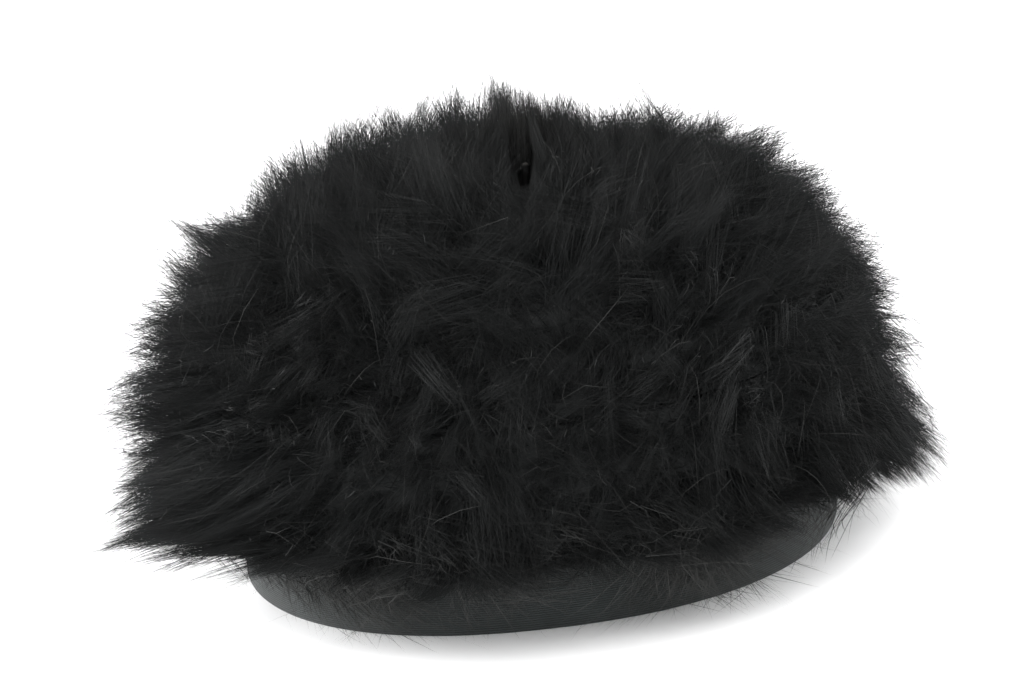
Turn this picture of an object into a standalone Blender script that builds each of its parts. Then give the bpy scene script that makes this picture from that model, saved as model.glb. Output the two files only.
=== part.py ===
"""Feather hat: a ribbed headband, a hollow cap, and fluffy down strips sewn round it in rings.

Metres, +Z up, the front towards -Y. The origin is the middle of the rim that the hat rests on.
Each strip is one soft body: a thick backing that follows the cap, with curved pointed locks on it.
"""

import math
import random

import bmesh
import bpy
from mathutils import Vector

# Driving dimensions
BAND_WIDTH = 0.172  # headband outside, side to side
BAND_DEPTH = 0.190  # headband outside, front to back
BAND_HEIGHT = 0.030
PLAN_SQUARENESS = 2.2  # exponent of the head's outline: 2 is an ellipse
BAND_WALL = 0.002
CAP_TOP = 0.089  # outside of the cap's top above the rim
CAP_WALL = 0.002
CAP_TUCK = 0.010  # how far the cap's edge reaches down inside the band
CAP_STRAIGHT = 0.010  # straight wall of the cap above the band
CAP_SQUARENESS = 2.4  # exponent of the crown's curve: 2 is an ellipse, more is flatter on top
SEWN_GAP = 0.0003  # clearance between pieces that are sewn together
STRIP_GAP = 0.0008  # clearance between neighbouring strips

LOCK_LENGTH = 0.033  # from the cap to a lock's tip
BACKING_DEPTH = 0.012  # thick part of a strip, below its locks
FRINGE_FOOT = 0.021  # lower edge of the lowest strip above the rim
DROOP = math.radians(5)  # how far the down hangs below the cap's normal, on the sides
LOCK_BEND = math.radians(20)  # how much further a lock's tip curls down
FRONT_LIFT = math.radians(22)  # how much flatter the lowest down lies round the front corners
LIFTED_TURNS = (math.radians(228), math.radians(322))  # where those corners are, counted from +X
LIFTED_SHARE = 0.4  # share of the way up to the crown at which the down droops as elsewhere again
SWIRL = 0.30  # most sideways sweep of a lock's tip, as a share of its length
SWIRL_WAVES = 3  # times that the sweep changes sides and back round the hat
LENGTH_SPREAD = 0.13  # most that a lock is longer or shorter than the rest, as a share
ROOT_JITTER = 0.16  # most that a root's corner strays, as a share of a root's size
TIP_JITTER = 0.28  # most that a tip strays, likewise
TWIST = math.radians(40)  # turn of the columns of locks from the band to the crown

STALK_RADIUS = 0.0011
STALK_FOOT_RADIUS = 0.0026
STALK_FOOT_HEIGHT = 0.0015
STALK_TOP = 0.108  # above the rim
STALK_OFFSET = 0.0065  # the crown's middle lies this far to the side of the band's
PARTING_RADIUS = 0.0045  # bare spot round the stalk

BAND_SIDES = 72
CAP_SIDES = 52
CAP_ROWS = 9
STALK_SIDES = 12
SEED = 7

# Strips from the rim up. Their edges are shares of the way from the band's top to the parting at the
# crown's middle. Below 0 they lie on the band, where the lowest strip's foot counts as ON_BAND.
ON_BAND = -0.1
STRIPS = [
    # name, lower edge, upper edge, rows of locks, locks in a row
    ("fringe_strip", ON_BAND, 0.0, 1, 46),
    ("lower_strip", 0.0, 0.23, 2, 44),
    ("middle_strip", 0.23, 0.46, 2, 42),
    ("shoulder_strip", 0.46, 0.70, 2, 34),
    ("crown_rosette", 0.70, 1.0, 3, 20),
]

# Cross-sections of a lock between its root and its tip
LOCK_SECTIONS = [
    # share of the way from root to tip, share of the root's width
    (0.40, 0.80),
    (0.74, 0.44),
]

MATERIALS = {
    # colour, roughness
    "band_ribbed": ((0.030, 0.031, 0.033), 0.85),
    "cap_felt": ((0.016, 0.016, 0.017), 0.95),
    "down_black": ((0.012, 0.013, 0.014), 0.90),
    "stalk_dark": ((0.022, 0.021, 0.020), 0.60),
}


def clear_scene():
    for thing in list(bpy.data.objects):
        bpy.data.objects.remove(thing, do_unlink=True)


def make_materials():
    made = {}
    for name, (colour, roughness) in MATERIALS.items():
        made[name] = bpy.data.materials.new(name)
        made[name].use_nodes = True
        shader = made[name].node_tree.nodes["Principled BSDF"]
        shader.inputs["Base Color"].default_value = (*colour, 1.0)
        shader.inputs["Roughness"].default_value = roughness
        shader.inputs["Metallic"].default_value = 0.0
    return made


def finish_mesh(name, shape, surface, sharp_angle=math.radians(35)):
    """Turns a bmesh into a named object with one material, shaded smooth between its sharp edges."""
    bmesh.ops.recalc_face_normals(shape, faces=shape.faces)
    mesh = bpy.data.meshes.new(name)
    shape.to_mesh(mesh)
    shape.free()
    mesh.shade_smooth()
    mesh.set_sharp_from_angle(angle=sharp_angle)
    mesh.materials.append(surface)
    made = bpy.data.objects.new(name, mesh)
    bpy.context.scene.collection.objects.link(made)
    return made


def oval(half_width, half_depth, height, turn):
    """Point of a level oval with these half sizes, in the outline of a head."""
    across, along = (
        math.copysign(abs(value) ** (2 / PLAN_SQUARENESS), value)
        for value in (math.cos(turn), math.sin(turn))
    )
    return Vector((half_width * across, half_depth * along, height))


def turns_of(sides):
    return [2 * math.pi * j / sides for j in range(sides)]


def oval_ring(shape, half_width, half_depth, height, sides):
    return [shape.verts.new(oval(half_width, half_depth, height, turn)) for turn in turns_of(sides)]


def bridge(shape, lower, upper):
    """Quads between two closed rings of as many vertices."""
    for j in range(len(lower)):
        k = (j + 1) % len(lower)
        shape.faces.new((lower[j], lower[k], upper[k], upper[j]))


def cap_sizes():
    """Half width and half depth of the cap's straight wall, and the crown's height above it."""
    tucked = BAND_WALL + SEWN_GAP
    rise = CAP_TOP - BAND_HEIGHT - CAP_STRAIGHT
    return BAND_WIDTH / 2 - tucked, BAND_DEPTH / 2 - tucked, rise


def straight_share():
    """The part of the way from the band to the crown's middle that is straight wall."""
    half_width, _, rise = cap_sizes()
    return CAP_STRAIGHT / (CAP_STRAIGHT + (half_width + rise) * 0.84)


def cap_section(share, lift=0.0):
    """Half width, half depth and height of the cap's outside, or of a surface lifted off it.

    share is 0 at the band's top edge and 1 at the crown's middle.
    """
    half_width, half_depth, rise = cap_sizes()
    wall = straight_share()
    if share < wall:
        reach = 1.0
        height = CAP_STRAIGHT * share / wall
    else:
        quarter = min((share - wall) / (1 - wall), 1.0) * math.pi / 2
        reach = max(math.cos(quarter), 0.0) ** (2 / CAP_SQUARENESS)
        height = CAP_STRAIGHT + (rise + lift) * math.sin(quarter) ** (2 / CAP_SQUARENESS)
    return (half_width + lift) * reach, (half_depth + lift) * reach, BAND_HEIGHT + height


def parting_share():
    """Where on the cap the bare spot round the stalk begins."""
    reach = PARTING_RADIUS / cap_sizes()[0]
    quarter = math.acos(reach ** (CAP_SQUARENESS / 2)) / (math.pi / 2)
    return straight_share() + (1 - straight_share()) * quarter


def make_headband(surface):
    """A straight oval wall with a flat rim."""
    shape = bmesh.new()
    half_width, half_depth = BAND_WIDTH / 2, BAND_DEPTH / 2
    corners = [
        # half width, half depth, height
        (half_width, half_depth, 0.0),
        (half_width, half_depth, BAND_HEIGHT),
        (half_width - BAND_WALL, half_depth - BAND_WALL, BAND_HEIGHT),
        (half_width - BAND_WALL, half_depth - BAND_WALL, 0.0),
    ]
    rings = [oval_ring(shape, *corner, BAND_SIDES) for corner in corners]
    for lower, upper in zip(rings, rings[1:] + rings[:1]):
        bridge(shape, lower, upper)
    return finish_mesh("headband", shape, surface)


def make_cap(surface):
    """A hollow dome whose straight lower edge is tucked inside the band."""
    shape = bmesh.new()

    def skin(lift):
        half_width, half_depth, height = cap_section(0.0, lift)
        rings = [oval_ring(shape, half_width, half_depth, height - CAP_TUCK, CAP_SIDES)]
        for i in range(CAP_ROWS):
            rings.append(oval_ring(shape, *cap_section(i / CAP_ROWS, lift), CAP_SIDES))
        for lower, upper in zip(rings, rings[1:]):
            bridge(shape, lower, upper)
        top = shape.verts.new((0.0, 0.0, cap_section(1.0, lift)[2]))
        for j in range(CAP_SIDES):
            shape.faces.new((rings[-1][j], rings[-1][(j + 1) % CAP_SIDES], top))
        return rings[0]

    bridge(shape, skin(0.0), skin(-CAP_WALL))
    return finish_mesh("crown_cap", shape, surface)


def make_stalk(surface):
    """The short stalk at the crown's middle, on a small round foot, with a rounded tip."""
    shape = bmesh.new()
    seat = CAP_TOP + SEWN_GAP
    sections = [
        # radius, height
        (STALK_FOOT_RADIUS, seat),
        (STALK_FOOT_RADIUS, seat + STALK_FOOT_HEIGHT / 2),
        (STALK_RADIUS, seat + STALK_FOOT_HEIGHT),
        (STALK_RADIUS, STALK_TOP - STALK_RADIUS),
        (STALK_RADIUS * 0.8, STALK_TOP - STALK_RADIUS * 0.4),
        (STALK_RADIUS * 0.4, STALK_TOP),
    ]
    rings = [
        [
            shape.verts.new((radius * math.cos(turn), radius * math.sin(turn), height))
            for turn in turns_of(STALK_SIDES)
        ]
        for radius, height in sections
    ]
    for lower, upper in zip(rings, rings[1:]):
        bridge(shape, lower, upper)
    shape.faces.new(rings[0])
    shape.faces.new(rings[-1])
    bmesh.ops.translate(shape, verts=shape.verts, vec=(STALK_OFFSET, 0.0, 0.0))
    return finish_mesh("crown_stalk", shape, surface)


def carried_section(way, lift):
    """The section that the down is sewn to, lifted off it, and how steeply the down leaves it."""
    if way < 0:
        height = FRINGE_FOOT + (BAND_HEIGHT - STRIP_GAP - FRINGE_FOOT) * (1 - way / ON_BAND)
        return BAND_WIDTH / 2 + lift, BAND_DEPTH / 2 + lift, height, 0.0
    # The lowest down on the cap leaves it high enough to pass over the band's edge.
    over_band = SEWN_GAP + (BAND_WALL + 2 * SEWN_GAP) * math.tan(DROOP)
    foot = over_band / CAP_STRAIGHT * straight_share()
    place = foot + way * (parting_share() - foot)
    step = 0.01
    low = cap_section(max(place - step, 0.0), lift)
    high = cap_section(place + step, lift)
    return *cap_section(place, lift), math.atan2(low[0] - high[0], high[2] - low[2])


def front_lift(way, turn):
    """How much less the down droops here, near the front corners where it lies flatter."""
    around = sum(max(math.cos(turn - corner), 0.0) ** 4 for corner in LIFTED_TURNS)
    return FRONT_LIFT * around * max(1 - max(way, 0.0) / LIFTED_SHARE, 0.0)


def down_point(way, turn, depth, lift):
    """A point this deep in a strip's down, measured out from its root along the way it grows."""
    half_width, half_depth, height, normal = carried_section(way, lift)
    grown = depth / LOCK_LENGTH
    droop = DROOP + LOCK_BEND * grown / 2 - front_lift(way, turn)
    slope = normal - droop * math.cos(normal)
    reach = depth * math.cos(slope)
    point = oval(half_width + reach, half_depth + reach, height + depth * math.sin(slope), turn)
    across = Vector((-math.sin(turn), math.cos(turn), 0.0))
    sweep = SWIRL * math.sin(SWIRL_WAVES * (turn + 2 * way)) * half_width / (BAND_WIDTH / 2)
    point += across * sweep * depth * grown
    point.x += STALK_OFFSET * max(way, 0.0) ** 8
    return point


def facet_sag(bounds, columns):
    """How far flat facets with these edges would dip below the round surface that they follow."""
    row_sag = 0.0
    for foot, head in zip(bounds, bounds[1:]):
        low, middle, high = (carried_section(way, 0.0)[1:3] for way in (foot, (foot + head) / 2, head))
        chord = [(a + b) / 2 for a, b in zip(low, high)]
        row_sag = max(row_sag, math.dist(middle, chord))
    return row_sag + carried_section(bounds[0], 0.0)[1] * (1 - math.cos(math.pi / columns))


def add_lock(shape, roots, corners, place, chance):
    """One tapered, curved lock on the four root vertices, whose way and turn are in corners."""
    middle = [sum(values) / 4 for values in zip(*corners)]
    size = [max(values) - min(values) for values in zip(*corners)]
    stray = [chance.uniform(-TIP_JITTER, TIP_JITTER) * extent for extent in size]
    length = LOCK_LENGTH * (1 + chance.uniform(-LENGTH_SPREAD, LENGTH_SPREAD))
    below = roots
    for along, width in LOCK_SECTIONS:
        depth = BACKING_DEPTH + (length - BACKING_DEPTH) * along
        section = []
        for corner in corners:
            way, turn = (
                (mid + drift * along) * (1 - width) + value * width
                for mid, drift, value in zip(middle, stray, corner)
            )
            section.append(shape.verts.new(place(way, turn, depth)))
        bridge(shape, below, section)
        below = section
    tip = shape.verts.new(place(middle[0] + stray[0], middle[1] + stray[1], length))
    for j in range(4):
        shape.faces.new((below[j], below[(j + 1) % 4], tip))


def make_strip(name, foot, head, rows, columns, surface, chance):
    """One ring of down: flat against what carries it, cut square to its neighbours, locks outside."""
    shape = bmesh.new()
    half_gap = STRIP_GAP / 2 / (CAP_TOP - BAND_HEIGHT + BAND_WIDTH / 2)
    row_height = (head - foot - 2 * half_gap) / rows
    bounds = [foot + half_gap + row_height * i for i in range(rows + 1)]
    lift = SEWN_GAP + facet_sag(bounds, columns) * (1 + 2 * ROOT_JITTER) ** 2

    def place(way, turn, depth):
        return down_point(way, turn, depth, lift)

    grid, inner, outer = [], [], []
    for i, way in enumerate(bounds):
        stray = ROOT_JITTER * row_height if 0 < i < rows else 0.0
        row = []
        for j in range(columns):
            column = j + chance.uniform(-ROOT_JITTER, ROOT_JITTER)
            turn = 2 * math.pi * column / columns + TWIST * way
            row.append((way + chance.uniform(-stray, stray), turn))
        grid.append(row)
        inner.append([shape.verts.new(place(*corner, 0.0)) for corner in row])
        outer.append([shape.verts.new(place(*corner, BACKING_DEPTH)) for corner in row])
    for lower, upper in zip(inner, inner[1:]):
        bridge(shape, lower, upper)
    bridge(shape, inner[0], outer[0])
    bridge(shape, inner[-1], outer[-1])
    for i in range(rows):
        for j in range(columns):
            k = (j + 1) % columns
            turned = 2 * math.pi if k == 0 else 0.0
            near, far = grid[i][k], grid[i + 1][k]
            corners = [grid[i][j], (near[0], near[1] + turned), (far[0], far[1] + turned), grid[i + 1][j]]
            roots = [outer[i][j], outer[i][k], outer[i + 1][k], outer[i + 1][j]]
            add_lock(shape, roots, corners, place, chance)
    return finish_mesh(name, shape, surface)


def main():
    clear_scene()
    surfaces = make_materials()
    make_headband(surfaces["band_ribbed"])
    make_cap(surfaces["cap_felt"])
    make_stalk(surfaces["stalk_dark"])
    chance = random.Random(SEED)
    for strip in STRIPS:
        make_strip(*strip, surfaces["down_black"], chance)


main()
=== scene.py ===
"""Looks of the feather hat: black down in pointed tufts over a dark mat, a ribbed band and a felt cap.

The down follows the same rule as the source's locks. A place in it is three numbers: way, from the
band up to the parting in the crown, turn, round the hat, and depth, out from what carries it.
"""

import math
import random

import bpy
import numpy as np
from mathutils import Matrix, Vector


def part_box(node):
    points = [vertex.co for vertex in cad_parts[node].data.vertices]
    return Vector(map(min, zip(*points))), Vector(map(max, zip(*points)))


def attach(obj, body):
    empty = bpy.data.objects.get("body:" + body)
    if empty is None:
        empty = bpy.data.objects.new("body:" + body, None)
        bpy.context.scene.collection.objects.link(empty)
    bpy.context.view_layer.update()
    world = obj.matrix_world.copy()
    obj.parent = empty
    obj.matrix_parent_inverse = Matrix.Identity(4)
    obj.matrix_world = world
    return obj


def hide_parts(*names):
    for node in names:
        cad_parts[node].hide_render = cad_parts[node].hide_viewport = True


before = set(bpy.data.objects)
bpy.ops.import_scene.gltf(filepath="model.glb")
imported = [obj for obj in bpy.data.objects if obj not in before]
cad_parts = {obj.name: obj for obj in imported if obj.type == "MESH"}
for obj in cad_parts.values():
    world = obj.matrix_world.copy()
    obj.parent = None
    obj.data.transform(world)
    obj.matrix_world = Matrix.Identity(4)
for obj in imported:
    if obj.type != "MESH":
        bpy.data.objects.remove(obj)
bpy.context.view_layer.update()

# Sizes of the solids, in metres, and the shares that shape them
band_low, band_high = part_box("headband")
cap_low, cap_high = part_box("crown_cap")
stalk_low, stalk_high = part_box("crown_stalk")
BAND_WIDTH = band_high.x - band_low.x
BAND_DEPTH = band_high.y - band_low.y
BAND_HEIGHT = band_high.z
BAND_WALL = 0.002
CAP_WALL = 0.002
CAP_TOP = cap_high.z
CAP_STRAIGHT = 0.010
CAP_FOOT = cap_low.z
SEWN_GAP = 0.0003
STRIP_GAP = 0.0008
PLAN_SQUARENESS = 2.2
CAP_SQUARENESS = 2.4
ARC_SHARE = 0.84
PARTING_RADIUS = 0.0045
STALK_OFFSET = (stalk_low.x + stalk_high.x) / 2

# The down's rule, as in the source
LOCK_LENGTH = 0.033
FRINGE_FOOT = 0.021
DROOP = math.radians(5)
LOCK_BEND = math.radians(20)
FRONT_LIFT = math.radians(22)
LIFTED_TURNS = (math.radians(228), math.radians(322))
LIFTED_SHARE = 0.4
SWIRL = 0.30
SWIRL_WAVES = 3
LENGTH_SPREAD = 0.13
ROOT_JITTER = 0.16
TIP_JITTER = 0.28
TWIST = math.radians(40)
LOCK_SEED = 7
ON_BAND = -0.1

# name, lower edge, upper edge, rows, columns, tufts in a lock, strands in a tuft
STRIPS = (
    ("fringe_strip", ON_BAND, 0.0, 1, 46, 6, 88),
    ("lower_strip", 0.0, 0.23, 2, 44, 6, 60),
    ("middle_strip", 0.23, 0.46, 2, 42, 6, 64),
    ("shoulder_strip", 0.46, 0.70, 2, 34, 7, 75),
    ("crown_rosette", 0.70, 1.0, 3, 20, 7, 78),
)

# Widths of the strands at their thickest, and how many of the other kinds each lock holds
STRAND_WIDTH = 0.000124
FLUFF_WIDTH = 0.00042
CURL_WIDTH = 0.00012
HAIR_WIDTH = 0.00014
BUNDLE_WIDTH = 0.00020
BIT_WIDTH = 0.00022
FLUFF_IN_LOCK = 76
CURLS_IN_LOCK = 40
CURLS_TOGETHER = 4
HAIRS_IN_LOCK = 5
BITS_IN_LOCK = 4

# Shades of the strands, from 0, dark, to 256, pale: a tuft's, how far its strands stray from it, then
# the other kinds, and a hanging bundle's with its strands' stray
SHADE_STEPS = 256
TUFT_SHADES = (30, 65)
STRAND_SHADES = (-15, 35)
FLUFF_SHADES = (0, 90)
CURL_SHADES = (45, 148)
HAIR_SHADES = (140, 236)
BIT_SHADES = (115, 200)
# The hanging bundles are pale like the wisps over the band, and paler still as painted light against the
# shade under the fringe
BUNDLE_SHADES = (210, 238)
HANGING_SHADES = (-40, 18)

# Loose bundles that hang over the band: first and last turn in degrees, bundles, lowest ends, how far out
# at the top, and how much of that is left at the lowest end
HANGING = (
    (226, 238, 12, (0.001, 0.010), (0.006, 0.020), (0.1, 0.4)),
    (239, 245, 9, (0.0008, 0.004), (0.008, 0.020), (0.6, 1.1)),
    (250, 272, 16, (0.001, 0.012), (0.006, 0.024), (0.3, 0.7)),
    (282, 294, 15, (0.0008, 0.004), (0.008, 0.022), (0.6, 1.2)),
    (294, 312, 12, (0.002, 0.012), (0.006, 0.024), (0.3, 0.7)),
    (0, 360, 36, (0.004, 0.016), (0.006, 0.026), (0.3, 0.7)),
)
HANGING_TOP = 0.028
STRANDS_IN_BUNDLE = 26
BUNDLE_SPREAD = math.radians(2.2)

# How a bundle swings and curls as it falls, and how much its strands stray from that, in radians
BUNDLE_SWING = (0.10, 0.075)
BUNDLE_CURL = (0.06, 0.035)

# Depths in the down: where strands and curls start, the mat's surface, lumps and inside, and the fluff
STRAND_ROOT = 0.0110
CURL_ROOT = STRAND_ROOT + 0.004
MAT_DEPTH = 0.0125
MAT_LUMP = 0.0025
MAT_INSIDE = 0.0004
FLUFF_ROOT = MAT_DEPTH - 0.002
FLUFF_LENGTHS = (0.016, 0.024)

# How tufts spread in a lock's cell and gather to their tips, as shares of the cell
TUFT_REACH = 0.42
TUFT_ROOT = 0.36
TUFT_GATHER = 0.72
TUFT_PULL = 0.30
TUFT_DRIFT = 0.42
TUFT_SAG = 0.45
STRAND_STRAY = 0.11

# A tuft's length as a share of its lock's, with its random part and its loss at the cell's edge, then
# a strand's as a share of its tuft's, with its gain at the tuft's middle and its random part
TUFT_LEAST = 0.81
TUFT_RANDOM = 0.72
TUFT_OUTER = 0.20
STRAND_LEAST = 0.58
STRAND_INNER = 0.44
STRAND_RANDOM = 0.24

# The greatest length of a strand, less on the left and at the top, more round one turn on the right
LONGEST = 0.0530
LEFT_TURNS = (1.6, 4.7)
SHORTER_LEFT = 0.0012
SHORTER_TOP = 0.0048
LONGER_RIGHT = 0.0030
LONGEST_TURN = math.radians(35)

# How much longer the down is than the source's locks: all round, on the left, round one turn at the
# back, and how much shorter at the crown
FULLER = 1.07
FULLER_LEFT = 0.07
FULLER_TOP = 0.09
FULLEST_TURN = math.radians(85)
CROWN_SHORTENED = 0.45

# How far the lowest down hangs lower at the hat's right side, how much of that at its left, how far
# up, and the lowest that any strand may reach
DRAPE = 0.009
DRAPED_LEFT = -0.5
DRAPED_SHARE = 0.5
LOWEST = 0.0006

# The parting in front of the stalk: how much of the stalk shows, the slope of its floor towards the
# front, its half width at the stalk and at the top, the slope of its sides, the height over its floor in
# which strands are cut short, how far behind the stalk it starts, the way from which strands are looked
# at, and at how many places
SEEN_OF_STALK = 0.0062
PARTED_RISE = 0.19
PARTED_HALF_WIDTH = 0.0013
PARTED_WIDEST = 0.0034
PARTED_SPREAD = 4.2
PARTED_ENTRY = 0.0035
PARTED_BEHIND = 0.0015
PARTED_FROM = 0.6
PARTED_PLACES = 25

# Short strands over the bare middle of the crown: strands, first and last turn in degrees, how far from the
# stalk, how tall, and their shades, paler than the other down's as painted light against the shade in the
# hollow round the stalk, palest in the third row behind it, then how far all of them lean and how high over
# the cap they start
COVERS = (
    (900, 0, 360, (0.001, 0.012), (0.015, 0.023), (120, 190)),
    (1300, 0, 180, (0.003, 0.015), (0.026, 0.042), (110, 190)),
    (800, 40, 145, (0.0025, 0.010), (0.031, 0.046), (190, 236)),
)
COVER_LEAN = 0.005
COVER_FOOT = 0.001

# The band's pitch of ribs, and its unevenness round the rim: sizes, waves and where they start
RIB_PITCH = 0.00062
BAND_WAVES = ((0.00022, 5, 0.6), (0.00014, 13, 2.0))

# The studio: half the floor's side, the point that is lit, each light's place and watts, the lights'
# width, and the strength of the white surroundings
FLOOR_HALF = 6.0
LIT_POINT = (0.0, 0.0, 0.07)
LIGHTS = (
    ("key", (-1.45, 0.5, 0.5), 84),
    ("right", (1.2, 0.9, 0.6), 36),
    ("back", (-0.7, 1.3, 0.9), 10),
)
LIGHT_WIDTH = 1.4
WORLD_STRENGTH = 2.4

# The photograph's camera: distance, angles, scale at the middle of the rim, and that point's pixel
IMAGE_WIDTH = 1022
IMAGE_HEIGHT = 681
SENSOR = 36.0
CAMERA_DISTANCE = 1.15
CAMERA_ELEVATION = math.radians(17.0)
CAMERA_ROLL = math.radians(6.6)
PIXELS_PER_METRE = 3427
RIM_PIXEL = (540.9, 526.4)


def power(base, exponent):
    return np.sign(base) * np.abs(base) ** exponent


def oval(half_width, half_depth, height, turn):
    """Points of a squared oval, as rows of x, y and z."""
    across = power(np.cos(turn), 2 / PLAN_SQUARENESS)
    along = power(np.sin(turn), 2 / PLAN_SQUARENESS)
    height = height + 0 * across
    return np.stack([half_width * across, half_depth * along, height], -1)


def cap_sizes():
    tucked = BAND_WALL + SEWN_GAP
    rise = CAP_TOP - BAND_HEIGHT - CAP_STRAIGHT
    return BAND_WIDTH / 2 - tucked, BAND_DEPTH / 2 - tucked, rise


def straight_share():
    half_width, _, rise = cap_sizes()
    return CAP_STRAIGHT / (CAP_STRAIGHT + (half_width + rise) * ARC_SHARE)


def cap_section(share, lift=0.0):
    """Half width, half depth and height of the cap, from the band's edge at 0 to its top at 1."""
    half_width, half_depth, rise = cap_sizes()
    wall = straight_share()
    quarter = np.clip((share - wall) / (1 - wall), 0, 1) * math.pi / 2
    reach = np.clip(np.cos(quarter), 0, 1) ** (2 / CAP_SQUARENESS)
    domed = CAP_STRAIGHT + (rise + lift) * np.sin(quarter) ** (2 / CAP_SQUARENESS)
    straight = CAP_STRAIGHT * share / wall
    height = BAND_HEIGHT + np.where(share < wall, straight, domed)
    return (half_width + lift) * reach, (half_depth + lift) * reach, height


def parting_share():
    reach = PARTING_RADIUS / cap_sizes()[0]
    quarter = math.acos(reach ** (CAP_SQUARENESS / 2)) / (math.pi / 2)
    return straight_share() + (1 - straight_share()) * quarter


def carried_section(way, lift):
    """The section that the down is sewn to, and how steeply the down leaves it."""
    on_band = way < 0
    over_band = SEWN_GAP + (BAND_WALL + 2 * SEWN_GAP) * math.tan(DROOP)
    foot = over_band / CAP_STRAIGHT * straight_share()
    place = foot + np.maximum(way, 0) * (parting_share() - foot)
    step = 0.01
    low = cap_section(np.maximum(place - step, 0), lift)
    high = cap_section(place + step, lift)
    half_width, half_depth, height = cap_section(place, lift)
    normal = np.arctan2(low[0] - high[0], high[2] - low[2])
    band_height = FRINGE_FOOT + (BAND_HEIGHT - STRIP_GAP - FRINGE_FOOT) * (1 - way / ON_BAND)
    return (
        np.where(on_band, BAND_WIDTH / 2 + lift, half_width),
        np.where(on_band, BAND_DEPTH / 2 + lift, half_depth),
        np.where(on_band, band_height, height),
        np.where(on_band, 0.0, normal),
    )


def down_points(way, turn, depth, lift=SEWN_GAP):
    """Points this deep in the down, measured out from the root along the way that it grows."""
    half_width, half_depth, height, normal = carried_section(way, lift)
    grown = depth / LOCK_LENGTH
    around = sum(np.maximum(np.cos(turn - corner), 0) ** 4 for corner in LIFTED_TURNS)
    lifted = FRONT_LIFT * around * np.maximum(1 - np.maximum(way, 0) / LIFTED_SHARE, 0)
    slope = normal - (DROOP + LOCK_BEND * grown / 2 - lifted) * np.cos(normal)
    reach = depth * np.cos(slope)
    points = oval(half_width + reach, half_depth + reach, height + depth * np.sin(slope), turn)
    sweep = SWIRL * np.sin(SWIRL_WAVES * (turn + 2 * way)) * half_width / (BAND_WIDTH / 2)
    sweep = sweep * depth * grown
    points[..., 0] += -np.sin(turn) * sweep + STALK_OFFSET * np.maximum(way, 0) ** 8
    points[..., 1] += np.cos(turn) * sweep
    return points


def locks_of(strip, chance):
    """Each lock of a strip: way and turn of its four corners, how its tip strays, its length."""
    _, foot, head, rows, columns = strip[:5]
    half_gap = STRIP_GAP / 2 / (CAP_TOP - BAND_HEIGHT + BAND_WIDTH / 2)
    row_height = (head - foot - 2 * half_gap) / rows
    grid = []
    for i in range(rows + 1):
        way = foot + half_gap + row_height * i
        stray = ROOT_JITTER * row_height if 0 < i < rows else 0.0
        row = []
        for j in range(columns):
            column = j + chance.uniform(-ROOT_JITTER, ROOT_JITTER)
            turn = 2 * math.pi * column / columns + TWIST * way
            row.append((way + chance.uniform(-stray, stray), turn))
        grid.append(row)
    locks = []
    for i in range(rows):
        for j in range(columns):
            k = (j + 1) % columns
            turned = 2 * math.pi if k == 0 else 0.0
            near, far = grid[i][k], grid[i + 1][k]
            corners = [grid[i][j], (near[0], near[1] + turned), grid[i + 1][j], (far[0], far[1] + turned)]
            stray = [chance.uniform(-TIP_JITTER, TIP_JITTER) for _ in range(2)]
            length = LOCK_LENGTH * (1 + chance.uniform(-LENGTH_SPREAD, LENGTH_SPREAD))
            locks.append((np.array(corners), stray, length))
    return locks


def in_cell(corners, across, up):
    """Way and turn at a place in a lock's cell, where both shares run from 0 to 1."""
    low = corners[0] + (corners[1] - corners[0]) * across[..., None]
    high = corners[2] + (corners[3] - corners[2]) * across[..., None]
    place = low + (high - low) * up[..., None]
    return place[..., 0], place[..., 1]


def ribbons(points, half_widths, rng):
    """Flat tapering ribbons along rows of points, each rolled its own way and closed at its tip."""
    count, steps, _ = points.shape
    along = np.gradient(points, axis=1)
    roll = rng.normal(size=(count, 1, 3))
    side = np.cross(along, roll)
    side /= np.linalg.norm(side, axis=-1, keepdims=True) + 1e-12
    edge = side * half_widths[:, :, None]
    left = (points - edge)[:, :-1]
    right = (points + edge)[:, :-1]
    verts = np.concatenate([np.stack([left, right], 2).reshape(count, -1, 3), points[:, -1:]], 1)
    per = verts.shape[1]
    start = np.arange(count)[:, None] * per
    quads = []
    for k in range(steps - 2):
        quads.append(start + np.array([[2 * k, 2 * k + 1, 2 * k + 3, 2 * k + 2]]))
    tips = start + np.array([[per - 3, per - 2, per - 1]])
    share = np.linspace(0, 1, steps)
    place = np.concatenate([np.repeat(share[:-1], 2), share[-1:]])
    side_of = np.concatenate([np.tile([0.0, 1.0], steps - 1), [0.5]])
    return verts.reshape(-1, 3), quads, tips, place, side_of, per


def add_object(name, mesh, material):
    mesh.materials.append(material)
    mesh.shade_smooth()
    piece = bpy.data.objects.new(name, mesh)
    bpy.context.scene.collection.objects.link(piece)
    return piece


def mesh_of(name, verts, faces, marks):
    """A mesh from arrays of faces, with marks, a place on the map for each corner of each face."""
    corners = np.concatenate([f.ravel() for f in faces])
    sizes = np.concatenate([np.full(len(f), f.shape[1]) for f in faces])
    starts = np.cumsum(sizes) - sizes
    mesh = bpy.data.meshes.new(name)
    mesh.vertices.add(len(verts))
    mesh.vertices.foreach_set("co", verts.astype(np.float32).ravel())
    mesh.loops.add(len(corners))
    mesh.loops.foreach_set("vertex_index", corners.astype(np.int32))
    mesh.polygons.add(len(sizes))
    mesh.polygons.foreach_set("loop_start", starts.astype(np.int32))
    layer = mesh.uv_layers.new(name="OFBake")
    layer.uv.foreach_set("vector", marks.astype(np.float32).ravel())
    mesh.update(calc_edges=True)
    return mesh


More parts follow.
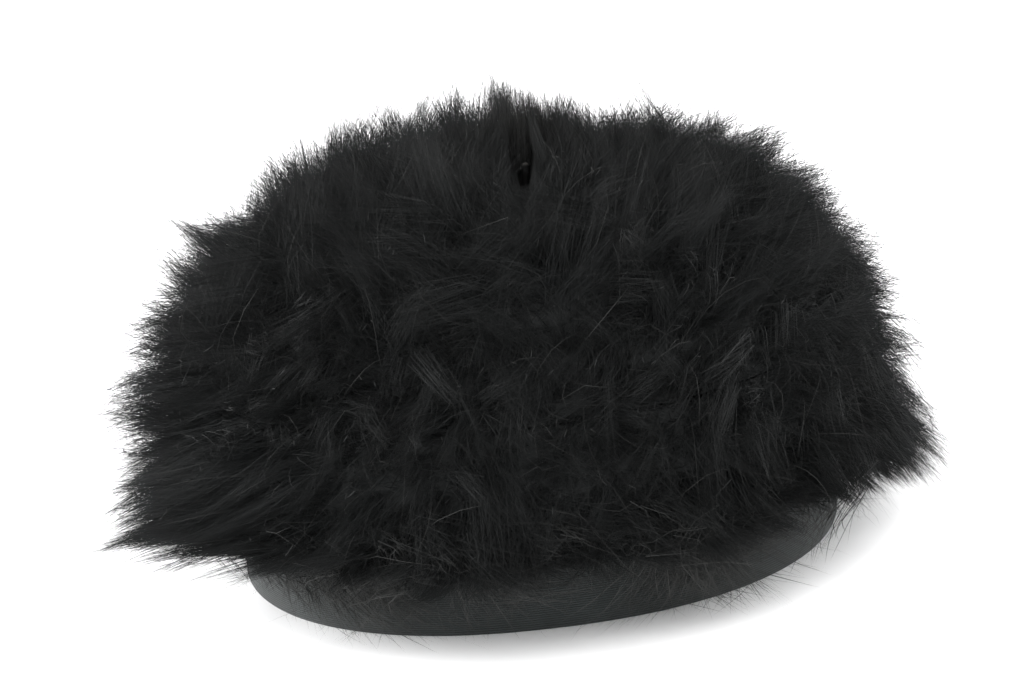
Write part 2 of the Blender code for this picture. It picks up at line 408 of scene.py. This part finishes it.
def shell_object(name, rings, material):
    """A wall that closes on itself: rings round the hat, one for each step round its section."""
    count, sides, _ = rings.shape
    index = np.arange(count * sides).reshape(count, sides)
    after = np.roll(index, -1, axis=1)
    above = np.roll(index, -1, axis=0)
    faces = np.stack([index, after, np.roll(after, -1, axis=0), above], -1).reshape(-1, 4)
    row, column = np.divmod(np.arange(count * sides), sides)
    across = np.stack([column, column + 1, column + 1, column], -1) / sides
    up = np.stack([row, row, row + 1, row + 1], -1) / count
    marks = np.stack([across, up], -1)
    return add_object(name, mesh_of(name, rings.reshape(-1, 3), [faces], marks), material)


class Fibres:
    """Collects ribbons, with the shade of each, and makes one mesh object of them."""

    def __init__(self):
        self.verts, self.faces, self.marks = [], [], []
        self.count = 0

    def add(self, points, half_widths, shades, rng):
        verts, quads, tips, place, side_of, per = ribbons(points, half_widths, rng)
        across = (np.repeat(shades, per) + np.tile(side_of * 0.9, len(shades))) / SHADE_STEPS
        up = 0.02 + 0.96 * np.tile(place, len(shades))
        self.verts.append(verts)
        self.marks.append(np.stack([across, up], 1))
        self.faces.extend(q + self.count for q in quads)
        self.faces.append(tips + self.count)
        self.count += len(verts)

    def make(self, name, material):
        corners = np.concatenate([f.ravel() for f in self.faces])
        marks = np.concatenate(self.marks)[corners]
        return add_object(name, mesh_of(name, np.concatenate(self.verts), self.faces, marks), material)


def grow(corners, across, up, length, root=STRAND_ROOT):
    """Rows of points for strands whose place in the lock's cell is given step by step."""
    share = np.linspace(0, 1, across.shape[1])[None, :]
    way, turn = in_cell(corners, across, up)
    start = turn[:, 0]
    longest = LONGEST - SHORTER_LEFT * (start > LEFT_TURNS[0]) * (start < LEFT_TURNS[1])
    longest = longest - SHORTER_TOP * np.clip(way[:, 0], 0, 1) ** 4
    longest = longest + LONGER_RIGHT * np.maximum(np.cos(start - LONGEST_TURN), 0) ** 2
    deep = root + (np.minimum(length, longest)[:, None] - root) * share
    points = down_points(np.clip(way, 1.3 * ON_BAND, 0.999), turn, deep)
    aside = np.cos(turn)
    sides = aside**4 * np.where(aside > 0, 1.0, DRAPED_LEFT) * np.clip(1 - way / DRAPED_SHARE, 0, 1)
    points[..., 2] = np.maximum(points[..., 2] - DRAPE * sides * share**2, LOWEST)
    return trimmed(points) if way.max() > PARTED_FROM else points


def along_path(points, share):
    """Points at these shares of the way along each strand."""
    steps = points.shape[1] - 1
    place = np.minimum(share, 0.9999) * steps
    before = place.astype(int)
    row = np.arange(len(points))[:, None]
    low, high = points[row, before], points[row, before + 1]
    return low + (high - low) * (place - before)[..., None]


def trimmed(points):
    """Strands cut short where they would hide the stalk from the front."""
    share = np.linspace(0, 1, PARTED_PLACES)[None, :] + np.zeros((len(points), 1))
    path = along_path(points, share)
    aside, ahead = np.abs(path[..., 0] - STALK_OFFSET), -path[..., 1]
    floor = stalk_high.z - SEEN_OF_STALK + PARTED_RISE * ahead
    above = path[..., 2] - floor - PARTED_SPREAD * np.maximum(aside - PARTED_HALF_WIDTH, 0)
    hides = (aside < PARTED_WIDEST) & (ahead > -PARTED_BEHIND) & (above > 0) & (above < PARTED_ENTRY)
    last = np.where(hides.any(1), share[0][np.argmax(hides, 1)], 1.0)
    return along_path(points, last[:, None] * np.linspace(0, 1, points.shape[1]))


def wide(rng, count, width, taper):
    return width / 2 * rng.uniform(0.6, 1.3, (count, 1)) * np.array([taper])


def add_tuft(fibres, corners, root, tip, length, count, rng):
    """Strands spread round the tuft's root, drawn together towards its tip."""
    share = np.linspace(0, 1, 3)[None, :]
    reach = np.sqrt(rng.random((count, 1))) * TUFT_ROOT
    angle = rng.random((count, 1)) * 2 * math.pi
    drawn = 1 - TUFT_GATHER * share**1.4
    stray = rng.normal(0, STRAND_STRAY, (2, count, 1)) * share**1.7
    across = root[0] + (tip[0] - root[0]) * share**1.6 + reach * np.cos(angle) * drawn + stray[0]
    up = root[1] + (tip[1] - root[1]) * share**1.6 + reach * np.sin(angle) * drawn + stray[1]
    inner = 1 - reach[:, 0] / TUFT_ROOT
    lengths = length * (STRAND_LEAST + STRAND_INNER * inner + STRAND_RANDOM * rng.beta(1.6, 2.0, count))
    shades = rng.integers(*TUFT_SHADES) + rng.integers(*STRAND_SHADES, count)
    half_widths = wide(rng, count, STRAND_WIDTH, (1.0, 0.85, 0.0)) * (1.3 - 0.7 * inner[:, None])
    fibres.add(grow(corners, across, up, lengths), half_widths, shades, rng)


def add_fluff(fibres, corners, rng):
    """Short soft strands that lie over the mat, and over the seam to the next lock."""
    count = FLUFF_IN_LOCK
    share = np.linspace(0, 1, 3)[None, :]
    start = rng.uniform(-0.15, 1.15, (2, count, 1))
    angle = rng.random((count, 1)) * 2 * math.pi
    reach = rng.uniform(0.4, 0.9, (count, 1)) * share**1.3
    across = start[0] + reach * np.cos(angle)
    up = start[1] + reach * np.sin(angle)
    lengths = rng.uniform(*FLUFF_LENGTHS, count)
    shades = rng.integers(*FLUFF_SHADES, count)
    points = grow(corners, across, up, lengths, FLUFF_ROOT)
    fibres.add(points, wide(rng, count, FLUFF_WIDTH, (1.0, 0.8, 0.0)), shades, rng)


def shared(rng, count, together, draw, stray):
    """One value drawn for each group of hairs, with a little of its own for each hair."""
    groups = -(-count // together)
    return np.repeat(draw((groups, 1)), together, axis=0)[:count] + rng.normal(0, stray, (count, 1))


def add_curls(fibres, corners, length, count, together, width, reach, shades, rng):
    """Thin loose hairs, side by side in small groups, that bend sideways as they grow."""
    share = np.linspace(0, 1, 6)[None, :]
    across = shared(rng, count, together, rng.random, 0.07)
    up = shared(rng, count, together, rng.random, 0.07)
    lean = shared(rng, count, together, lambda size: rng.uniform(0, 2 * math.pi, size), 0.12)
    bend = shared(rng, count, together, lambda size: rng.normal(0, 1.2, size), 0.15)
    out = shared(rng, count, together, lambda size: rng.uniform(0.3, 1.2, size), 0.08)
    out = reach * out * share**1.5
    angle = lean + bend * share
    lengths = length * rng.uniform(0.75, 1.22, count)
    across, up = across + out * np.cos(angle), up + out * np.sin(angle)
    points = grow(corners, across, up, lengths, CURL_ROOT)
    fibres.add(points, wide(rng, count, width, (1.0, 1.0, 0.9, 0.75, 0.5, 0.0)), shades, rng)


def add_bits(fibres, corners, length, rng):
    """Tiny pale ends of quill that show along a row's edge."""
    count = BITS_IN_LOCK
    share = np.linspace(0, 1, 3)[None, :]
    start = rng.random((count, 1))
    angle = rng.random((count, 1)) * 2 * math.pi
    across = start + 0.10 * share * np.cos(angle)
    up = 1 + rng.normal(0, 0.10, (count, 1)) + 0.14 * share * np.sin(angle)
    root = length * rng.uniform(0.55, 0.85, (count, 1))
    points = grow(corners, across, up, root[:, 0] + rng.uniform(-0.001, 0.002, count), root)
    half_widths = wide(rng, count, BIT_WIDTH, (0.8, 1.0, 0.0))
    fibres.add(points, half_widths, rng.integers(*BIT_SHADES, count), rng)


def add_cover(fibres, rng):
    """Short strands round the stalk over the middle of the crown, taller behind it, painted paler as light
    against the shade in the hollow there.
    """
    share = np.linspace(0, 1, 4)[None, :]
    for count, first, last, reaches, heights, shades in COVERS:
        angle = np.radians(rng.uniform(first, last, (count, 1)))
        lean = rng.random((count, 1)) * 2 * math.pi
        reach = np.sqrt(rng.uniform(reaches[0] ** 2, reaches[1] ** 2, (count, 1)))
        across = reach * np.cos(angle) + COVER_LEAN * share**1.5 * np.cos(lean)
        behind = reach * np.sin(angle) + COVER_LEAN * share**1.5 * np.sin(lean)
        rise = rng.uniform(*heights, (count, 1)) * share
        points = np.stack([STALK_OFFSET + across, behind, CAP_TOP + COVER_FOOT + rise], -1)
        half_widths = wide(rng, count, STRAND_WIDTH, (1.0, 0.9, 0.6, 0.0))
        fibres.add(trimmed(points), half_widths, rng.integers(*shades, count), rng)


def add_bundles(fibres, rng):
    """Thin bundles that curve out of the lowest strip and hang in front of the band."""
    share = np.linspace(0, 1, 6)[None, :]
    for first, last, bundles, ends, reaches, left in HANGING:
        for _ in range(bundles):
            count = STRANDS_IN_BUNDLE
            start = math.radians(rng.uniform(first, last))
            swing = rng.normal(0, BUNDLE_SWING[0]) + rng.normal(0, BUNDLE_SWING[1], (count, 1))
            curl = rng.normal(0, BUNDLE_CURL[0]) + rng.normal(0, BUNDLE_CURL[1], (count, 1))
            spread = rng.normal(0, BUNDLE_SPREAD, (count, 1))
            turn = start + spread * (1 - 0.5 * share) + swing * share**1.6 + curl * np.sin(math.pi * share)
            reach = rng.uniform(*reaches) * rng.uniform(0.85, 1.15, (count, 1))
            foot = reach * rng.uniform(*left) + rng.uniform(-0.001, 0.002, (count, 1))
            end = rng.uniform(*ends) + rng.exponential(0.003, (count, 1))
            out = reach + (foot - reach) * share**1.8
            begin = HANGING_TOP + rng.normal(0, 0.004) + rng.normal(0, 0.003, (count, 1))
            height = np.maximum(begin - np.maximum(begin - end, 0) * share**1.4, LOWEST)
            points = oval(BAND_WIDTH / 2 + out, BAND_DEPTH / 2 + out, height, turn)
            # Pale shades: partly the wisps' own colour, partly painted light against the shade under the
            # fringe
            shades = rng.integers(*BUNDLE_SHADES) + rng.integers(*HANGING_SHADES, count)
            fibres.add(points, wide(rng, count, BUNDLE_WIDTH, (1.0, 1.0, 0.9, 0.8, 0.6, 0.0)), shades, rng)


def make_down(strip, chance, rng, material):
    """One strip of down: tufts of fine strands in each lock, fluff below them and loose hairs."""
    name, tufts, strands = strip[0], strip[5], strip[6]
    fibres = Fibres()
    for corners, stray, full in locks_of(strip, chance):
        middle = np.array([0.5 + stray[1], 0.5 + stray[0]])
        way, turn = corners.mean(0)
        way = max(way, 0)
        full *= FULLER - FULLER_LEFT * math.cos(turn)
        full *= 1 + FULLER_TOP * max(math.cos(turn - FULLEST_TURN), 0) * math.sin(math.pi * way**1.5)
        full *= 1 - CROWN_SHORTENED * way**12 * (0.55 - 0.45 * math.sin(turn))
        for k in range(tufts):
            spin = 2 * math.pi * (k + rng.random()) / tufts
            out = TUFT_REACH * math.sqrt((k + 0.3) / tufts)
            root = 0.5 + out * np.array([math.cos(spin), math.sin(spin)])
            tip = root + (middle - root) * TUFT_PULL + rng.normal(size=2) * TUFT_DRIFT * (1 + way)
            tip[1] -= TUFT_SAG * max(1 - way / 0.7, 0) * rng.random()
            length = full * (1.04 - TUFT_OUTER * out) * (TUFT_LEAST + TUFT_RANDOM * rng.beta(1.0, 2.4))
            add_tuft(fibres, corners, root, tip, length, strands, rng)
        add_fluff(fibres, corners, rng)
        curl_shades = rng.integers(*CURL_SHADES, CURLS_IN_LOCK)
        add_curls(fibres, corners, full, CURLS_IN_LOCK, CURLS_TOGETHER, CURL_WIDTH, 0.8, curl_shades, rng)
        hair_shades = rng.integers(*HAIR_SHADES, HAIRS_IN_LOCK)
        add_curls(fibres, corners, full * 1.04, HAIRS_IN_LOCK, 1, HAIR_WIDTH, 1.1, hair_shades, rng)
        add_bits(fibres, corners, full, rng)
    if name == "fringe_strip":
        add_bundles(fibres, rng)
    if name == "crown_rosette":
        add_cover(fibres, rng)
    place_piece(fibres.make(name + "_down", material), name)


def make_mat(strip, rng, material):
    """The dark mat under a strip's strands: a closed lumpy ring, cut square at the strip's edges."""
    name, foot, head, _, columns = strip[:5]
    sides = 4 * columns
    rows = max(4, round((head - foot) * 40))
    edge = STRIP_GAP / 2 / (CAP_TOP - BAND_HEIGHT + BAND_WIDTH / 2)
    way = np.linspace(foot + edge, head - edge, rows)[:, None] + np.zeros((1, sides))
    turn = np.arange(sides)[None, :] * 2 * math.pi / sides + TWIST * way
    lumps = np.zeros_like(way)
    for _ in range(10):
        waves = rng.integers(8, 46)
        lumps += np.sin(waves * turn + rng.uniform(50, 150) * way + rng.uniform(0, 2 * math.pi))
    deep = MAT_DEPTH + MAT_LUMP * np.clip(lumps / 5, -1, 1)
    outside = down_points(way, turn, deep)
    inside = down_points(way, turn, MAT_INSIDE + 0 * way)
    rings = np.concatenate([outside, inside[::-1]])
    place_piece(shell_object(name + "_mat", rings, material), name)


def place_piece(piece, node):
    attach(piece, "root")
    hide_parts(node)


def node_material(name):
    material = bpy.data.materials.new(name)
    material.use_nodes = True
    tree = material.node_tree
    return material, tree, tree.nodes["Principled BSDF"]


def ramp_node(tree, stops, factor):
    ramp = tree.nodes.new("ShaderNodeValToRGB")
    while len(ramp.color_ramp.elements) < len(stops):
        ramp.color_ramp.elements.new(0.5)
    for element, (place, colour) in zip(ramp.color_ramp.elements, stops):
        element.position = place
        element.color = (*colour, 1.0)
    tree.links.new(factor, ramp.inputs["Fac"])
    return ramp.outputs["Color"]


def down_material():
    """Near-black strands, a touch browner in hue to their tips but paler at their roots, which is painted
    light against the shade deep in the down; the palest shades, a few pale hairs, are paler to their tips:
    u is shade, v root to tip.
    """
    material, tree, shader = node_material("down_black_strands")
    marks = tree.nodes.new("ShaderNodeUVMap")
    marks.uv_map = "OFBake"
    split = tree.nodes.new("ShaderNodeSeparateXYZ")
    tree.links.new(marks.outputs["UV"], split.inputs["Vector"])
    # Root colours are paler than tip colours up to the pale shades: painted light that offsets the shade
    # deep in the down, where the strands start
    root_stops_with_painted_light = (
        (0.0, (0.0135, 0.0146, 0.0149)),
        (0.55, (0.0170, 0.0184, 0.0186)),
        (0.70, (0.0195, 0.0204, 0.0204)),
        (1.0, (0.0350, 0.0355, 0.0345)),
    )
    tip_stops = (
        (0.0, (0.0068, 0.0073, 0.0074)),
        (0.55, (0.0102, 0.0103, 0.0100)),
        (0.70, (0.0160, 0.0158, 0.0150)),
        (1.0, (0.0485, 0.0490, 0.0475)),
    )
    roots_with_painted_light = ramp_node(tree, root_stops_with_painted_light, split.outputs["X"])
    tips = ramp_node(tree, tip_stops, split.outputs["X"])
    mix = tree.nodes.new("ShaderNodeMix")
    mix.data_type = "RGBA"
    tree.links.new(split.outputs["Y"], mix.inputs["Factor"])
    tree.links.new(roots_with_painted_light, mix.inputs[6])
    tree.links.new(tips, mix.inputs[7])
    tree.links.new(mix.outputs[2], shader.inputs["Base Color"])
    shader.inputs["Roughness"].default_value = 0.75
    shader.inputs["Specular IOR Level"].default_value = 0.08
    return material


def mat_material():
    """Dark matted down: streaks along the way that it grows, bent by softer noise."""
    material, tree, shader = node_material("down_black_mat")
    marks = tree.nodes.new("ShaderNodeUVMap")
    marks.uv_map = "OFBake"
    bends = tree.nodes.new("ShaderNodeTexNoise")
    bends.inputs["Scale"].default_value = 24
    tree.links.new(marks.outputs["UV"], bends.inputs["Vector"])
    shift = tree.nodes.new("ShaderNodeVectorMath")
    shift.operation = "MULTIPLY_ADD"
    shift.inputs[1].default_value = (0.06, 0.06, 0.0)
    tree.links.new(bends.outputs["Color"], shift.inputs[0])
    tree.links.new(marks.outputs["UV"], shift.inputs[2])
    stretch = tree.nodes.new("ShaderNodeVectorMath")
    stretch.operation = "MULTIPLY"
    stretch.inputs[1].default_value = (420, 16, 1)
    tree.links.new(shift.outputs["Vector"], stretch.inputs[0])
    streaks = noise_node(tree, stretch.outputs["Vector"], 1, 4)
    # The mat is as pale as the strands' roots and paler than their tips: painted light that offsets the
    # shade under the strands
    stops = ((0.30, (0.0125, 0.0135, 0.0138)), (0.72, (0.0230, 0.0240, 0.0240)))
    tree.links.new(ramp_node(tree, stops, streaks), shader.inputs["Base Color"])
    tree.links.new(bump_node(tree, streaks, 0.8, 0.0006), shader.inputs["Normal"])
    shader.inputs["Roughness"].default_value = 0.85
    shader.inputs["Specular IOR Level"].default_value = 0.10
    return material


def noise_node(tree, vector, scale, detail, roughness=0.6):
    noise = tree.nodes.new("ShaderNodeTexNoise")
    noise.inputs["Scale"].default_value = scale
    noise.inputs["Detail"].default_value = detail
    noise.inputs["Roughness"].default_value = roughness
    tree.links.new(vector, noise.inputs["Vector"])
    return noise.outputs["Fac"]


def bump_node(tree, height, strength, distance, before=None):
    bump = tree.nodes.new("ShaderNodeBump")
    bump.inputs["Strength"].default_value = strength
    bump.inputs["Distance"].default_value = distance
    tree.links.new(height, bump.inputs["Height"])
    if before is not None:
        tree.links.new(before, bump.inputs["Normal"])
    return bump.outputs["Normal"]


def band_material():
    """Slate-black ribbed fabric: fine level ribs, painted darker in their grooves as shade, crossed by
    finer threads, softly uneven.
    """
    material, tree, shader = node_material("band_ribbed_fabric")
    where = tree.nodes.new("ShaderNodeTexCoord").outputs["Object"]
    ribs = tree.nodes.new("ShaderNodeTexWave")
    ribs.bands_direction = "Z"
    ribs.inputs["Scale"].default_value = 2 * math.pi / 20 / RIB_PITCH
    ribs.inputs["Distortion"].default_value = 0.25
    ribs.inputs["Detail"].default_value = 1.0
    tree.links.new(where, ribs.inputs["Vector"])
    threads = noise_node(tree, where, 2600, 2)
    patches = noise_node(tree, where, 38, 3)
    # The ribs' colour runs from dark where the bump is low to pale on the crests: painted shade in the
    # grooves
    rib_stops_with_painted_shade = ((0.0, (0.0100, 0.0118, 0.0117)), (1.0, (0.0340, 0.0404, 0.0402)))
    rib_colour_with_painted_shade = ramp_node(tree, rib_stops_with_painted_shade, ribs.outputs["Fac"])
    patch_colour = ramp_node(tree, ((0.35, (0.62, 0.62, 0.62)), (0.68, (1.0, 1.0, 1.0))), patches)
    mix = tree.nodes.new("ShaderNodeMix")
    mix.data_type = "RGBA"
    mix.blend_type = "MULTIPLY"
    mix.inputs["Factor"].default_value = 1.0
    tree.links.new(rib_colour_with_painted_shade, mix.inputs[6])
    tree.links.new(patch_colour, mix.inputs[7])
    tree.links.new(mix.outputs[2], shader.inputs["Base Color"])
    ribbed = bump_node(tree, ribs.outputs["Fac"], 0.7, 0.00025)
    tree.links.new(bump_node(tree, threads, 0.35, 0.0001, ribbed), shader.inputs["Normal"])
    shader.inputs["Roughness"].default_value = 0.85
    shader.inputs["Specular IOR Level"].default_value = 0.25
    shader.inputs["Sheen Weight"].default_value = 0.05
    return material


def felt_material():
    material, tree, shader = node_material("cap_black_felt")
    where = tree.nodes.new("ShaderNodeTexCoord").outputs["Object"]
    hairs = noise_node(tree, where, 900, 5, 0.75)
    mottle = noise_node(tree, where, 60, 3)
    stops = ((0.3, (0.0075, 0.0075, 0.0080)), (0.7, (0.0230, 0.0225, 0.0225)))
    tree.links.new(ramp_node(tree, stops, mottle), shader.inputs["Base Color"])
    tree.links.new(bump_node(tree, hairs, 0.6, 0.0005), shader.inputs["Normal"])
    shader.inputs["Roughness"].default_value = 0.95
    shader.inputs["Sheen Weight"].default_value = 0.2
    return material


def stalk_material():
    """Dark stalk with faint streaks along it and a pale cut tip."""
    material, tree, shader = node_material("stalk_dark_tip")
    where = tree.nodes.new("ShaderNodeTexCoord").outputs["Object"]
    split = tree.nodes.new("ShaderNodeSeparateXYZ")
    tree.links.new(where, split.inputs["Vector"])
    height = tree.nodes.new("ShaderNodeMapRange")
    height.inputs["From Min"].default_value = stalk_low.z
    height.inputs["From Max"].default_value = stalk_high.z
    tree.links.new(split.outputs["Z"], height.inputs["Value"])
    streaks = noise_node(tree, where, 1500, 3)
    stops = (
        (0.0, (0.005, 0.005, 0.005)),
        (0.962, (0.007, 0.007, 0.007)),
        (0.974, (0.030, 0.029, 0.027)),
        (1.0, (0.045, 0.043, 0.040)),
    )
    tree.links.new(ramp_node(tree, stops, height.outputs["Result"]), shader.inputs["Base Color"])
    tree.links.new(bump_node(tree, streaks, 0.4, 0.0002), shader.inputs["Normal"])
    shader.inputs["Roughness"].default_value = 0.8
    shader.inputs["Specular IOR Level"].default_value = 0.1
    return material


def make_band(material):
    """The ribbed band: a 2 mm wall with soft folded edges, not quite even round the rim."""
    sides = 240
    turn = np.arange(sides) * 2 * math.pi / sides
    wave = sum(size * np.sin(waves * turn + start) for size, waves, start in BAND_WAVES)
    edge = BAND_WALL / 2
    section = []
    for k in range(7):
        angle = math.pi * k / 6
        section.append((edge - edge * math.cos(angle), edge - edge * math.sin(angle)))
    low = [(inset, height) for inset, height in section]
    high = [(inset, BAND_HEIGHT - height) for inset, height in reversed(section)]
    outside = [(0.0, BAND_HEIGHT * k / 8) for k in range(7, 0, -1)]
    inside = [(BAND_WALL, BAND_HEIGHT * k / 8) for k in range(1, 8)]
    rings = []
    for inset, height in low + inside + high + outside:
        bulge = wave * math.sin(math.pi * height / BAND_HEIGHT)
        half_width = BAND_WIDTH / 2 - inset + bulge
        half_depth = BAND_DEPTH / 2 - inset + bulge
        rings.append(oval(half_width, half_depth, height, turn))
    rings = np.array(rings)[::-1]
    place_piece(shell_object("headband_fabric", rings, material), "headband")


def make_cap(material):
    """The felt cap, smooth inside and out, open below."""
    sides = 144
    turn = np.arange(sides) * 2 * math.pi / sides
    rows = 30
    shares = np.linspace(0, 1, rows) ** 0.8 * 0.999
    rings = []
    half_width, half_depth, _ = cap_sizes()
    rings.append(oval(half_width, half_depth, CAP_FOOT, turn))
    for share in shares:
        width, depth, height = cap_section(share)
        rings.append(oval(width, depth, height, turn))
    for share in shares[::-1]:
        width, depth, height = cap_section(share, -CAP_WALL)
        rings.append(oval(width, depth, height, turn))
    rings.append(oval(half_width - CAP_WALL, half_depth - CAP_WALL, CAP_FOOT, turn))
    place_piece(shell_object("crown_cap_felt", np.array(rings), material), "crown_cap")


def make_stalk(material):
    """The stalk at the crown, a little bent, with a worn round tip."""
    sides = 20
    turn = np.arange(sides) * 2 * math.pi / sides
    tall = stalk_high.z - stalk_low.z
    foot_radius = (stalk_high.x - stalk_low.x) / 2
    radii = ((0.0, foot_radius), (0.05, foot_radius * 0.8), (0.10, 0.0013), (0.25, 0.0011), (0.45, 0.00105))
    radii += ((0.65, 0.0010), (0.82, 0.00105), (0.93, 0.0011), (0.98, 0.0009), (1.0, 0.0004))
    rings = []
    for share, radius in radii:
        bend = 0.0009 * share * share
        ring = np.stack([radius * np.cos(turn), radius * np.sin(turn), 0 * turn], -1)
        rings.append(ring + [STALK_OFFSET + bend, 0.0, stalk_low.z + tall * share])
    mesh = bpy.data.meshes.new("crown_stalk_tip")
    count = len(rings)
    index = np.arange(count * sides).reshape(count, sides)
    after = np.roll(index, -1, axis=1)
    faces = np.stack([index[:-1], after[:-1], after[1:], index[1:]], -1).reshape(-1, 4).tolist()
    faces.append(index[0, ::-1].tolist())
    faces.append(index[-1].tolist())
    mesh.from_pydata(np.concatenate(rings).tolist(), [], faces)
    mesh.update()
    place_piece(add_object("crown_stalk_tip", mesh, material), "crown_stalk")


def make_floor():
    mesh = bpy.data.meshes.new("floor")
    half = FLOOR_HALF
    corners = [(-half, -half, 0), (half, -half, 0), (half, half, 0), (-half, half, 0)]
    mesh.from_pydata(corners, [], [(0, 1, 2, 3)])
    material, tree, shader = node_material("floor_pale")
    where = tree.nodes.new("ShaderNodeTexCoord").outputs["Object"]
    stops = ((0.0, (0.88, 0.88, 0.89)), (1.0, (0.92, 0.92, 0.92)))
    tree.links.new(ramp_node(tree, stops, noise_node(tree, where, 3, 2)), shader.inputs["Base Color"])
    shader.inputs["Roughness"].default_value = 0.9
    mesh.materials.append(material)
    floor = bpy.data.objects.new("floor", mesh)
    bpy.context.scene.collection.objects.link(floor)


def make_light(name, place, watts):
    data = bpy.data.lights.new(name, "AREA")
    data.shape = "DISK"
    data.size = LIGHT_WIDTH
    data.energy = watts
    light = bpy.data.objects.new(name, data)
    light.location = place
    light.rotation_euler = (Vector(LIT_POINT) - Vector(place)).to_track_quat("-Z", "Y").to_euler()
    bpy.context.scene.collection.objects.link(light)


def make_lights():
    for name, place, watts in LIGHTS:
        make_light(name, place, watts)
    world = bpy.data.worlds.new("studio")
    world.use_nodes = True
    world.node_tree.nodes["Background"].inputs["Color"].default_value = (1.0, 1.0, 1.0, 1.0)
    world.node_tree.nodes["Background"].inputs["Strength"].default_value = WORLD_STRENGTH
    bpy.context.scene.world = world
    bpy.context.scene.view_settings.view_transform = "Standard"


def make_camera():
    """The photograph's camera, rolled, with the middle of the rim on its pixel."""
    focal_pixels = PIXELS_PER_METRE * CAMERA_DISTANCE
    place = Vector((0.0, -math.cos(CAMERA_ELEVATION), math.sin(CAMERA_ELEVATION))) * CAMERA_DISTANCE
    across = (RIM_PIXEL[0] - IMAGE_WIDTH / 2) / focal_pixels
    down = (RIM_PIXEL[1] - IMAGE_HEIGHT / 2) / focal_pixels
    aim = Vector((across, -down, -1.0)).rotation_difference(Vector((0.0, 0.0, -1.0)))
    look = Matrix.Rotation(math.pi / 2 - CAMERA_ELEVATION, 3, "X")
    turned = look @ Matrix.Rotation(-CAMERA_ROLL, 3, "Z") @ aim.to_matrix()
    data = bpy.data.cameras.new("camera")
    data.sensor_width = SENSOR
    data.lens = focal_pixels / IMAGE_WIDTH * SENSOR
    camera = bpy.data.objects.new("camera", data)
    camera.matrix_world = Matrix.Translation(place) @ turned.to_4x4()
    bpy.context.scene.collection.objects.link(camera)
    bpy.context.scene.camera = camera


make_camera()
make_floor()
make_lights()
make_band(band_material())
make_cap(felt_material())
make_stalk(stalk_material())
down, mat = down_material(), mat_material()
lock_chance = random.Random(LOCK_SEED)
strand_chance = np.random.default_rng(LOCK_SEED)
for strip in STRIPS:
    make_mat(strip, strand_chance, mat)
    make_down(strip, lock_chance, strand_chance, down)
